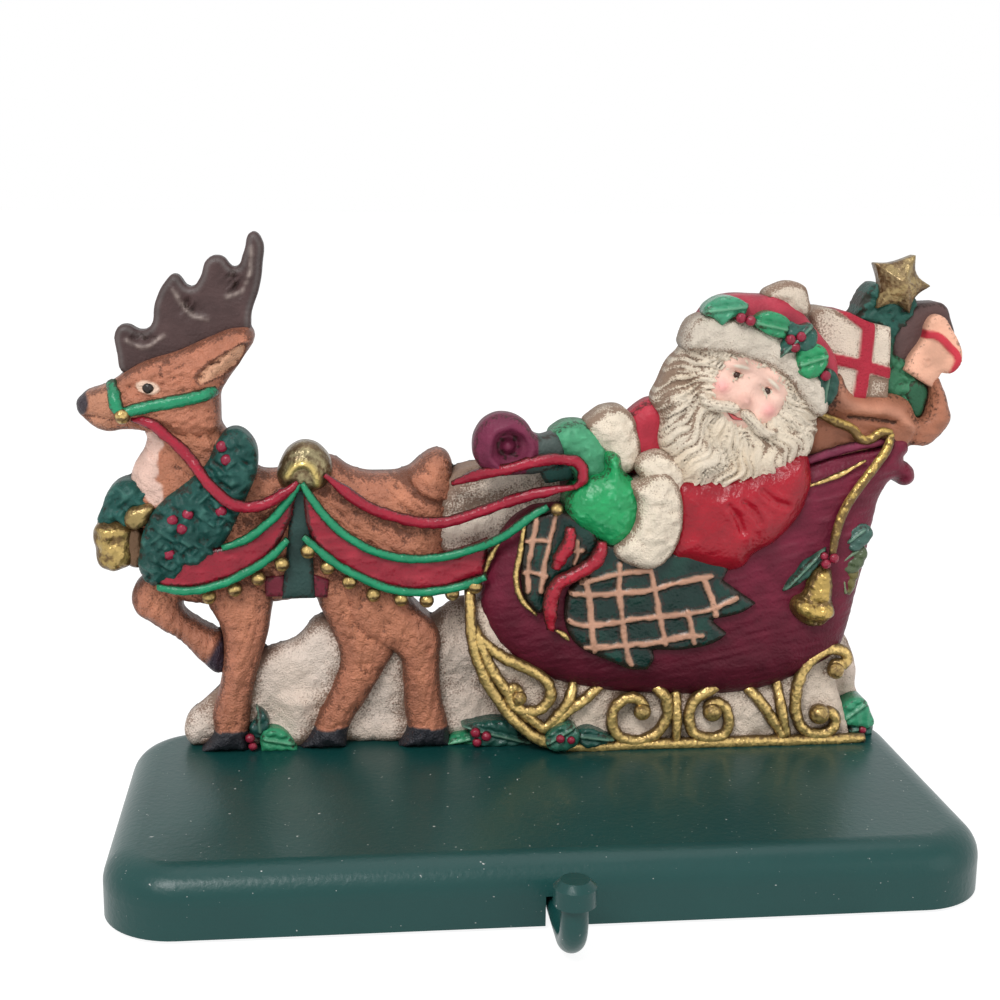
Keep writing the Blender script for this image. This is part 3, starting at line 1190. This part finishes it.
leaves = {
    "bell_leaf_left": {
        "loops": [[(60.2, 39.6, 0), (62, 43), (63.4, 44.4, 0), (65, 47), (67, 48.2, 0), (70.6, 50.6, 0),
                   (69.8, 47.6), (68.4, 46, 0), (66.4, 43.2), (65, 42.2, 0), (62.6, 40.6)]],
        "level": 19.5, "colour": (42, 84, 72), "rib": ((61, 40.2), (70, 49.8)),
    },
    "bell_leaf_top": {
        "loops": [[(74.5, 50.3), (75.3, 54.3), (78.5, 55.6), (81, 53.5), (79.6, 50.6), (76.4, 48.8)]],
        "level": 17.5, "shift": 1.2, "colour": (62, 98, 88), "rib": ((80, 54), (75, 50)),
    },
    "bell_leaf_mid": {
        "loops": [[(72.8, 47.6), (76, 49.4), (79.5, 49.8), (79.3, 45.6), (77.4, 43.6), (74, 43.8)]],
        "level": 17.0, "shift": 1.2, "colour": (78, 92, 62), "rib": ((79, 49), (73.5, 45)),
    },
    "bell_leaf_low": {
        "loops": [[(73.3, 42), (75, 44.8), (78.3, 44.4), (78, 41.2), (76.5, 38), (74.2, 38)]],
        "level": 16.5, "shift": 1.2, "colour": (104, 96, 52), "rib": ((76.6, 38.4), (75.5, 44)),
    },
    "foot_left_bright": {
        "loops": [[(-19, -0.3, 0), (-17, 2.4), (-14, 3.2), (-11.6, 2.6), (-11.5, -0.3, 0)]], "level": 9.5,
        "colour": (52, 148, 104), "rib": ((-18.4, 0.2), (-11.6, 1.6)),
    },
    "foot_left_dark": {
        "loops": [[(-15.2, 5.6, 0), (-13.2, 4.4), (-12.5, 1.4), (-8.5, -0.3, 0), (3.5, -0.3, 0),
                   (-0.5, 2.8), (-2, 6), (-6, 6.8), (-10.5, 6.4)]],
        "level": 11.5, "colour": (34, 82, 72), "rib": ((-14.6, 5.2), (2, 0.6)),
    },
    "foot_mid_bright": {
        "loops": [[(4.6, 4.4), (6.4, 6.8), (9.4, 8), (12, 6.8), (12.8, 4.2), (11.4, 2.2), (8, 1.2),
                   (5.2, 2)]],
        "level": 18.6, "colour": (40, 96, 78), "rib": ((5, 3), (12.4, 7.6)),
    },
    "foot_mid_dark": {
        "loops": [[(12.4, 5.4), (14.4, 6.6), (18, 5.4), (21.6, 3.2, 0), (18, 2.2), (14, 1.8)]],
        "level": 18.0, "colour": (34, 82, 72), "rib": ((21, 3.2), (13, 4.4)),
    },
    "foot_right_top": {
        "loops": [[(78.6, 6), (80, 9), (84.4, 9.8), (86.6, 6.4), (87.2, 2.6), (83, 2.6), (80, 3.6)]],
        "level": 11.5, "colour": (56, 146, 108), "rib": ((79.5, 4), (85.6, 8.6)),
    },
    "foot_right_low": {
        "loops": [[(81.4, 2.8), (84, 4), (87.3, 3.6), (87.4, -0.3, 0), (82, -0.3, 0)]], "level": 11.0,
        "colour": (34, 88, 76), "rib": ((82, 1), (87, 2.6)),
    },
    "foot_first_dark": {
        "loops": [[(-64, 11.4, 0), (-63.6, 8.8), (-65.6, 5.6), (-64, 3.4), (-61.4, 4.6), (-61, 8)]],
        "level": 9.5, "colour": (30, 74, 68), "rib": ((-63.6, 10.6), (-63, 4.6)),
    },
    "foot_first_bright": {
        "loops": [[(-62.6, 4.8), (-59.6, 5.9), (-56.4, 4.4), (-54, -0.3, 0), (-62.8, -0.3, 0)]],
        "level": 10.2, "colour": (50, 144, 102), "rib": ((-55, 1.6), (-62, 3)),
    },
    "cap_leaf_1": {
        "loops": [[(38, 105.8), (40, 108.8), (44.2, 109.6), (48.5, 107.8, 0), (47.4, 105.6), (44.7, 104.8),
                   (42.2, 103, 0), (40.2, 104.8)]],
        "level": 23.0, "start": 17.0, "colour": (64, 148, 112), "rib": ((38.8, 106.2), (47.8, 107.2)),
    },
    "cap_leaf_2": {
        "loops": [[(48.6, 103.8, 0), (51, 106), (54, 106.2), (57.8, 103.6), (56.6, 100.2, 0), (53.4, 100.8),
                   (50.8, 102.2)]],
        "level": 24.0, "start": 17.0, "colour": (40, 138, 92), "rib": ((49.4, 103.8), (57, 102.2)),
    },
    "cap_leaf_3": {
        "loops": [[(57.3, 104), (60, 103.2), (62.8, 103.6, 0), (64.4, 100.6), (62.4, 97), (59.4, 97.2),
                   (55.4, 95.4, 0), (55.6, 98.4), (56.6, 100.4)]],
        "level": 23.6, "start": 17.0, "colour": (34, 86, 74), "rib": ((56, 96), (63, 103)),
    },
    "cap_leaf_4": {
        "loops": [[(59.6, 95.4), (61, 98.4), (64.4, 99), (67.2, 96.4), (66.4, 93.2), (63.4, 91),
                   (60.6, 92)]],
        "level": 23.4, "start": 17.0, "colour": (36, 142, 90), "rib": ((60.4, 94), (67, 96)),
    },
    "cap_leaf_5": {
        "loops": [[(65, 91.6, 0), (67.8, 93.2), (70, 91), (69.6, 86.6), (67, 83.6, 0), (65.6, 87.6)]],
        "level": 22.4, "start": 17.0, "colour": (28, 74, 62), "rib": ((67, 84.4), (68, 92.6)),
    },
}
leafDefaults = {"edge": (1.6, 1.2), "paint": "gloss", "voxel": 0.32, "edgeWash": 0.4, "washWidth": 0.8}
for name, leaf in leaves.items():
    rib = leaf.pop("rib")
    outer = name.startswith(("foot", "cap"))  # those by the bell lie on the sleigh
    castForm(name, {**leafDefaults, "outline": outer, **leaf}, leafShape(*rib))

castBalls("holly_berries", {
    "radius": 1.25, "colour": (146, 34, 58), "paint": "gloss", "wash": 0.25,
    "centres": [(46.4, 104.8, 23.0), (48.6, 104.2, 23.2), (58.0, 100.0, 23.2), (60.4, 100.6, 23.2),
                (59.2, 98.2, 23.0), (66.8, 91.6, 22.6), (70, 46.8, 20.6), (71.8, 48.2, 20.8),
                (69.6, 48.6, 20.2, 1.0), (-11.6, 3.9, 11.4, 1.3), (-9, 3.0, 11.6, 1.3),
                (-11.2, 1.4, 11.2, 1.2), (8, 4.4, 18.6, 1.1), (10.6, 4, 18.6, 1.0), (-65.4, 3.4, 9.6, 1.2),
                (-64.8, 1.4, 9.6, 1.1), (84.8, 1.6, 11, 1.0)],
})

# Driver, from the far arm to the cap.

redCoat = (158, 18, 36)
cream = (232, 218, 198)


def woolShape(seed):
    def shape(x, z, reach, wash, colours):
        curls = grain(x, z, 1.5, seed)
        rise = (curls - 0.5) * 1.0 + (grain(x, z, 0.7, seed + 1) - 0.5) * 0.5
        wash = wash * (0.6 + curls) + 0.35 * limited(0.45 - curls) + 0.08
        return rise, wash, colours
    return shape


def knitShape(x, z, reach, wash, colours):
    loops = grain(x, z, 0.8, 101)
    colours = tint(colours, (110, 205, 155), limited(loops - 0.72) * 1.6)
    return (loops - 0.5) * 0.5, wash + 0.1 * loops, colours


arms = {
    "sleeve_far": {
        "loops": [[(22, 79.5), (25.5, 84), (29.5, 85.5), (34, 84), (36, 74), (31, 68), (24, 68)]],
        "level": 14.5, "edge": (4.5, 4.0), "colour": (178, 50, 66),
    },
    "mitten_far": {
        "loops": [[(4.5, 77), (6.5, 79.4), (9.5, 80.5), (13.5, 79.8), (16.8, 76.5), (18.7, 72),
                   (17.7, 67), (12, 66), (8.5, 70)]],
        "level": 17.0, "edge": (4.5, 4.0), "colour": (74, 152, 112),
    },
    "cuff_far": {
        "loops": [[(12.5, 79.6), (14.5, 82), (18, 83.8), (22.2, 83.2), (25, 78), (25, 70.5), (21, 68),
                   (17.5, 72)]],
        "level": 17.2, "edge": (4.5, 4.2), "colour": cream, "paint": "fleece",
    },
}
armShapes = {"mitten_far": knitShape, "cuff_far": woolShape(111)}
for name, arm in arms.items():
    castForm(name, {"start": 7.0, **arm}, armShapes.get(name))

sleeveFront = {
    "loops": [[(33, 67), (40, 68), (50.5, 70), (58, 73), (63, 74), (65, 70), (65, 65), (62.8, 58.8),
               (57.5, 52.6), (52.5, 49.5), (49.5, 46.3), (42.5, 46), (37, 47.5), (32, 49), (32, 58)]],
    "level": 21.5, "edge": (7.0, 5.5), "colour": redCoat, "paint": "gloss", "edgeWash": 0.25,
}
sleeveCreases = [
    [(46, 61), (48.5, 57.5), (49.5, 55)], [(49.5, 62), (52.5, 59), (53.5, 57)],
    [(54, 64.5), (57, 62), (60, 61)],
]


def sleeveShape(x, z, reach, wash, colours):
    rise = (hatch(x, z, 30, 5, 2.6, 121) - 0.5) * 0.7
    for crease in sleeveCreases:
        line = nearLine(x, z, crease)
        rise = rise - 0.55 * peak(line, 0.7) + 0.3 * peak(line - 1.5, 0.8)
        wash = wash + 0.18 * peak(line, 0.6)
    colours = tint(colours, (120, 14, 28), limited(1 - reach / 5) * 0.6)
    return rise, wash, colours


castForm("sleeve_near", sleeveFront, sleeveShape)

mittenFront = {
    "loops": [[(16.8, 74), (19.6, 73.8), (21, 69.8), (24, 67), (25.2, 62), (23.8, 55.3), (18.8, 52),
               (13.5, 54.8), (8.8, 58.5), (7.6, 62.5), (9.4, 66.5), (13, 68.8), (16.2, 69.8)]],
    "level": 22.0, "edge": (6.5, 6.0), "colour": (30, 150, 88), "paint": "gloss", "edgeWash": 0.5,
    "washWidth": 1.6,
}
castForm("mitten_near", mittenFront, knitShape)
cuffFront = {
    "loops": [[(24, 67.5), (27.5, 69.8), (31.2, 69.4), (34, 65.5), (35, 60.5), (34.4, 54.6), (32, 49.6),
               (28.2, 46.8), (22.8, 47.8), (18.6, 51.2), (20, 54), (22.4, 57), (23.6, 62), (22.4, 67.5)]],
    "level": 23.2, "edge": (5.5, 5.0), "colour": cream, "paint": "fleece", "edgeWash": 0.5,
    "washWidth": 1.6,
}
castForm("cuff_near", cuffFront, woolShape(131))
castForm("coat_fur", {
    "loops": [[(24, 71.5), (26.5, 73.4), (30, 74), (34, 71.5), (36, 67), (34, 63), (29, 64), (25.5, 67.5)]],
    "level": 20.0, "start": 7.0, "edge": (3.5, 3.0), "colour": cream, "paint": "fleece", "edgeWash": 0.5,
    "outline": False,
}, woolShape(136))

beard = {
    "loops": [[(37, 104), (34.8, 100), (34, 97.5), (31.3, 94.5), (29.3, 90), (27.6, 85.5), (29.5, 82),
               (29.3, 76), (31.5, 71), (33.8, 66), (39, 64.6), (44, 63.3), (50.5, 65.3), (57.5, 67.2),
               (62.5, 71), (65.3, 74), (66.3, 78.5), (66.3, 82), (68, 85.5), (66, 92), (59, 98),
               (47, 104)]],
    "level": 20.5, "start": 10.5, "edge": (7.0, 5.0), "colour": cream, "paint": "fleece", "voxel": 0.4,
    "washWidth": 1.6,
}
headPlace = {"centre": (49.5, 88.0), "tilt": -27.0}


# Face coordinates: to the driver's left along the brow, and up to the crown.
def faceAxes(x, z):
    return turnedAxes(x, z, headPlace["centre"], headPlace["tilt"])


def facePoint(across, upward):
    turn = math.radians(headPlace["tilt"])
    x = headPlace["centre"][0] + across * math.cos(turn) - upward * math.sin(turn)
    z = headPlace["centre"][1] + across * math.sin(turn) + upward * math.cos(turn)
    return x, z


def beardShape(x, z, reach, wash, colours):
    across = x - 50
    upward = z - 93
    away = np.hypot(across, upward)
    around = np.arctan2(-across, -upward)
    wave = around + 0.07 * np.sin(away / 2.8) + 0.03 * np.sin(away / 1.2 + around * 6)
    strand = grain(wave * 30, away / 8.0, 1.0, 141)
    fine = grain(wave * 62, away / 5.0, 1.0, 142)
    ridge = np.abs(strand - 0.5) * 2
    rise = (ridge - 0.4) * 1.5 + (fine - 0.5) * 0.6
    shade = blob(x, z, (33, 92), 6, 14, 10) * 0.4 + blob(x, z, (57, 76), 9, 2.6, -20) * 0.35
    wash = wash * 0.5 + limited(0.3 - ridge) * 1.7 + shade * (1 - ridge)
    return rise, wash, tint(colours, (222, 192, 150), limited(grain(x, z, 6, 143) - 0.5) * 0.6)


castForm("beard", beard, beardShape)

# Plain backs across the driver's arms and head. Each starts at the level of
# the rearmost forms that it crosses, so those flat backs lie in one plane.
backs = {
    "arms_back": {
        "loops": [[(8, 68), (10, 76), (17, 80.5), (24, 81.5), (31, 82.5), (34, 76), (35, 66), (24, 58),
                   (10, 60)]],
        "start": 7.0, "level": 10.5, "colour": (96, 60, 56),
    },
    "head_back": {
        "loops": [[(36.5, 98), (39, 105), (46, 107), (56, 107), (63, 102), (68, 94), (68.6, 88), (65, 78),
                   (60, 70), (44, 66), (34, 70), (31, 84), (33, 93)]],
        "start": 10.5, "level": 15.0, "colour": (120, 84, 74),
    },
}
for name, back in backs.items():
    castForm(name, {"edge": (1.5, 1.0), "outline": False, **back})

face = {
    "loops": [[facePoint(-9.4, 0.5), facePoint(-7.6, 5.8), facePoint(0, 7.4), facePoint(7.6, 5.8),
               facePoint(9.2, 0.5), facePoint(7.2, -5.6), facePoint(0, -9.0), facePoint(-7.2, -5.6)]],
    "level": 21.0, "start": 12.0, "edge": (3.0, 2.0), "colour": (236, 196, 180), "voxel": 0.32,
    "edgeWash": 0.45, "washWidth": 1.4, "outline": False,
}
features = {"eyeAcross": 4.1, "eyeUp": 1.9, "noseUp": -2.4, "cheekAcross": 6.3, "cheekUp": -1.9}


def faceShape(x, z, reach, wash, colours):
    across, upward = faceAxes(x, z)
    side = np.abs(across)
    bridge = peak(across, 1.2) * limited((3.6 - upward) / 4.5) * (upward > -4.4)
    tip = blob(across, upward, (0, features["noseUp"]), 1.9, 1.4)
    cheek = blob(side, upward, (features["cheekAcross"], features["cheekUp"]), 1.9, 1.7)
    socket = blob(side, upward, (features["eyeAcross"], features["eyeUp"]), 1.9, 1.1)
    brow = blob(side, upward + 0.03 * side ** 2, (4.3, 4.6), 2.6, 0.7)
    rise = 0.9 * bridge + 2.2 * tip + 1.3 * cheek - 0.9 * socket + 0.9 * brow
    colours = tint(colours, (222, 150, 148), limited(cheek * 1.2) * 0.75)
    colours = tint(colours, (228, 168, 156), limited(tip) * 0.5)
    colours = tint(colours, (232, 218, 200), limited((brow - 0.5) * 4))
    wash = wash + 0.18 * socket + 0.2 * blob(side, upward, (2.3, -3.2), 0.4, 0.8)
    return rise, wash, colours


castForm("face", face, faceShape)

eyeSpots = [facePoint(side * features["eyeAcross"], features["eyeUp"]) for side in (-1, 1)]
eyeWhites = {"radius": 1.3, "colour": (236, 226, 214), "wash": 0.0}
eyeIrises = {"radius": 0.8, "colour": (58, 34, 26), "paint": "gloss", "wash": 0.0}
castBalls("eye_whites", {"centres": [(*spot, 19.3) for spot in eyeSpots], **eyeWhites})
castBalls("eye_irises", {"centres": [(*spot, 20.25) for spot in eyeSpots], **eyeIrises})
lidPoints = [(-1.7, -0.1, 19.6), (0, 0.95, 20.5), (1.7, -0.1, 19.6)]
lids = []
for side in (-1, 1):
    middle = side * features["eyeAcross"]
    lid = [(*facePoint(middle + across, features["eyeUp"] + up), out) for across, up, out in lidPoints]
    lids.append(lid)
castStrand("eye_lids", {
    "level": 20.4, "radius": 0.34, "colour": (206, 150, 132), "lines": lids, "wash": 0.35,
})
castStrand("lips", {
    "level": 21.0, "radius": 0.6, "colour": (176, 84, 84), "ends": 0.3,
    "lines": [[facePoint(-1.9, -6.5), facePoint(0, -6.9), facePoint(1.9, -6.5)]],
})

# One half of the moustache in face coordinates, the other is its mirror image.
moustache = {
    "outline": [(0.2, -4.0), (2.4, -3.7), (5.4, -4.9), (8.0, -5.6), (10.2, -4.6), (9.2, -7.2), (6.6, -8.0),
                (3.0, -6.9), (0.5, -5.7)],
    "level": 22.6, "start": 14.0, "edge": (1.8, 1.6), "colour": (234, 220, 200), "paint": "fleece",
    "voxel": 0.32,
}


def moustacheShape(x, z, reach, wash, colours):
    across, upward = faceAxes(x, z)
    strand = grain(np.abs(across) / 3.5, (upward + 0.32 * np.abs(across)) / 0.75, 1.0, 151)
    ridge = np.abs(strand - 0.5) * 2
    return (ridge - 0.4) * 0.8, wash * 0.4 + limited(0.28 - ridge) * 1.2, colours


for name, side in (("moustache_right", -1), ("moustache_left", 1)):
    loop = [facePoint(side * across, upward) for across, upward in moustache["outline"]]
    castForm(name, {**moustache, "loops": [loop], "outline": False}, moustacheShape)

cap = {
    "loops": [[(36.5, 102.6), (38.3, 105.4), (40.5, 108), (43.5, 109.4), (52.5, 109.6), (55, 109.6),
               (57.5, 108.8), (60.5, 107), (63, 104.2), (66, 100.8), (69.2, 96.8), (70.6, 93), (70, 89),
               (66.5, 85.5), (59, 94), (49.5, 100)]],
    "level": 20.0, "start": 10.5, "edge": (4.5, 4.0), "colour": (172, 58, 74), "edgeWash": 0.3,
}
castForm("cap", cap)
band = {
    "loops": [[(34, 101), (36.6, 104.8), (42.5, 105.2), (50.5, 103.2), (56.5, 100.5), (61.6, 95.8),
               (66, 91), (68, 86), (67, 82.5), (63.8, 83), (61, 86.5), (58, 90.5), (52.5, 94), (45.5, 96.3),
               (37.5, 97.2), (34, 97.8)]],
    "level": 22.6, "start": 12.0, "edge": (3.8, 3.4), "colour": (216, 204, 188), "paint": "fleece",
    "edgeWash": 0.4,
}
castForm("fur_band", band, woolShape(161))
pompom = {
    "loops": [[(52.4, 109.4), (55.6, 112.0), (59.3, 112.7), (62.2, 111.4), (63.4, 108.6), (63.6, 106),
               (62.4, 104.4), (58, 105), (54, 108)]],
    "level": 19.0, "start": 12.0, "edge": (4.5, 4.2), "colour": (216, 200, 182), "paint": "fleece",
}
castForm("pompom", pompom, woolShape(171))
print("driver made")

# Flat plate behind everything, one closed shell with a plain back.

plate = {"depth": 1.7, "voxel": 0.7, "colour": (60, 54, 50), "wash": 0.2}
plateWork = bmesh.new()
for loop in silhouettes:
    sheet = filledMesh([loop], 0.0, plate["depth"])
    plateWork.from_mesh(sheet)
    bpy.data.meshes.remove(sheet)
plateMesh = remeshed(finishedMesh("plate", plateWork), plate["voxel"])
plateMesh.vertices.foreach_set("co", toFrame(vertexRows(plateMesh)).ravel())
setPaint(plateMesh, linear(plate["colour"]), plate["wash"])
addPiece("back_plate", thinned(plateMesh), "satin")
print("back plate made")


# Base, hook, screws and pads keep their CAD shapes.
def enamelMaterial(name, settings):
    material, tree = emptyMaterial(name)
    place = addNode(tree, "ShaderNodeTexCoord", output="Object")
    specks = noiseNode(tree, place, 0.9, 1.0)
    cloud = noiseNode(tree, place, 14.0, 2.0)
    chips = ((specks - 0.76) * 14.0).clamped() * 0.7
    tone = mixColours(tree, (cloud * 0.5).clamped(), opaque(settings["colour"]), opaque(settings["second"]))
    shade = mixColours(tree, chips, tone, settings["chip"])
    bump = bumpNode(tree, noiseNode(tree, place, 1.1, 2.0), 0.4, 0.0002)
    addSurface(tree, {
        "Base Color": shade, "Normal": bump, "Roughness": settings["roughness"],
        "Specular IOR Level": 0.3, "Coat Weight": 0.08, "Coat Roughness": 0.15,
    })
    return material


def plainMaterial(name, settings):
    material, tree = emptyMaterial(name)
    place = addNode(tree, "ShaderNodeTexCoord", output="Object")
    cloud = noiseNode(tree, place, 1.2, 3.0)
    dark = (*(linear(settings["colour"]) * 0.45), 1.0)
    tone = mixColours(tree, (cloud * 0.4).clamped(), opaque(settings["colour"]), dark)
    values = {"Base Color": tone, "Roughness": settings["roughness"], "Metallic": settings["metallic"]}
    addSurface(tree, values)
    return material


enamel = enamelMaterial("base_enamel", {
    "colour": (14, 60, 58), "second": (20, 74, 70), "chip": (0.75, 0.75, 0.72, 1.0), "roughness": 0.34,
})
steel = plainMaterial("screw_steel", {"colour": (170, 170, 174), "roughness": 0.35, "metallic": 1.0})
felt = plainMaterial("pad_felt", {"colour": (40, 40, 42), "roughness": 0.95, "metallic": 0.0})
nodePaints = {
    "base_casting": enamel, "stocking_hook": enamel,
    "figure_screws": steel, "hook_screws": steel, "base_pads": felt,
}
for nodeName, material in nodePaints.items():
    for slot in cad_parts[nodeName].material_slots:
        slot.material = material
print("materials set")

# Stage: floor, lights, camera and a white background.

stage = {
    "floorSize": 8.0, "floor": (0.97, 0.97, 0.97, 1.0), "white": (1.0, 1.0, 1.0, 1.0),
    "glow": 1.18, "glowShare": 0.76, "skyLight": 0.5, "skySeen": 1.0,
}


# The floor and the world are white to the camera and in reflections only.
def seenDirectly(tree):
    names = ("Is Camera Ray", "Is Glossy Ray", "Is Transmission Ray")
    rays = [addNode(tree, "ShaderNodeLightPath", output=name) for name in names]
    return (rays[0] + rays[1] + rays[2]).clamped()


floorWork = bmesh.new()
bmesh.ops.create_grid(floorWork, x_segments=1, y_segments=1, size=stage["floorSize"] / 2)
floorMesh = finishedMesh("floor", floorWork)
floor = bpy.data.objects.new("floor", floorMesh)
bpy.context.scene.collection.objects.link(floor)
floorPaint, tree = emptyMaterial("floor")
matt = addNode(tree, "ShaderNodeBsdfPrincipled", None, {"Base Color": stage["floor"], "Roughness": 0.7})
glow = addNode(tree, "ShaderNodeEmission", None, {"Color": stage["white"], "Strength": stage["glow"]})
seen = seenDirectly(tree) * stage["glowShare"]
floorMix = addNode(tree, "ShaderNodeMixShader", None, {0: seen, 1: matt, 2: glow})
addNode(tree, "ShaderNodeOutputMaterial", None, {"Surface": floorMix})
floorMesh.materials.append(floorPaint)

lamps = {
    "key": {"place": (-0.45, -0.8, 1.1), "aim": (0, 0.02, 0.06), "size": 0.5, "power": 11.0},
    "fill": {"place": (0.9, -0.9, 0.45), "aim": (0, 0.02, 0.06), "size": 0.9, "power": 2.0},
    "top": {"place": (0.1, 0.1, 1.2), "aim": (0, 0.02, 0.05), "size": 0.8, "power": 2.0},
}
for name, lamp in lamps.items():
    data = bpy.data.lights.new(name, "AREA")
    data.size = lamp["size"]
    data.energy = lamp["power"]
    light = bpy.data.objects.new(name, data)
    place = Vector(lamp["place"])
    aim = Vector(lamp["aim"])
    turn = (aim - place).to_track_quat("-Z", "Y").to_matrix().to_4x4()
    light.matrix_world = Matrix.Translation(place) @ turn
    bpy.context.scene.collection.objects.link(light)

view = {"place": (-0.0477, -0.3309, 0.1548), "yaw": 6.35, "pitch": 12.17, "roll": 0.63, "lens": 57.6}
cameraData = bpy.data.cameras.new("camera")
cameraData.lens = view["lens"]
cameraData.sensor_width = 36.0
cameraData.clip_start = 0.01
camera = bpy.data.objects.new("camera", cameraData)
yaw = Matrix.Rotation(-math.radians(view["yaw"]), 4, "Z")
pitch = Matrix.Rotation(math.radians(90 - view["pitch"]), 4, "X")
roll = Matrix.Rotation(math.radians(view["roll"]), 4, "Z")
camera.matrix_world = Matrix.Translation(view["place"]) @ (yaw @ pitch) @ roll
bpy.context.scene.collection.objects.link(camera)
bpy.context.scene.camera = camera

world = bpy.data.worlds.new("studio")
world.use_nodes = True
tree = world.node_tree
tree.nodes.clear()
soft = addNode(tree, "ShaderNodeBackground", None, {"Color": stage["white"], "Strength": stage["skyLight"]})
white = addNode(tree, "ShaderNodeBackground", None, {"Color": stage["white"], "Strength": stage["skySeen"]})
skyMix = addNode(tree, "ShaderNodeMixShader", None, {0: seenDirectly(tree), 1: soft, 2: white})
addNode(tree, "ShaderNodeOutputWorld", None, {"Surface": skyMix})
bpy.context.scene.world = world
bpy.context.scene.view_settings.view_transform = "Standard"
print("stage set")
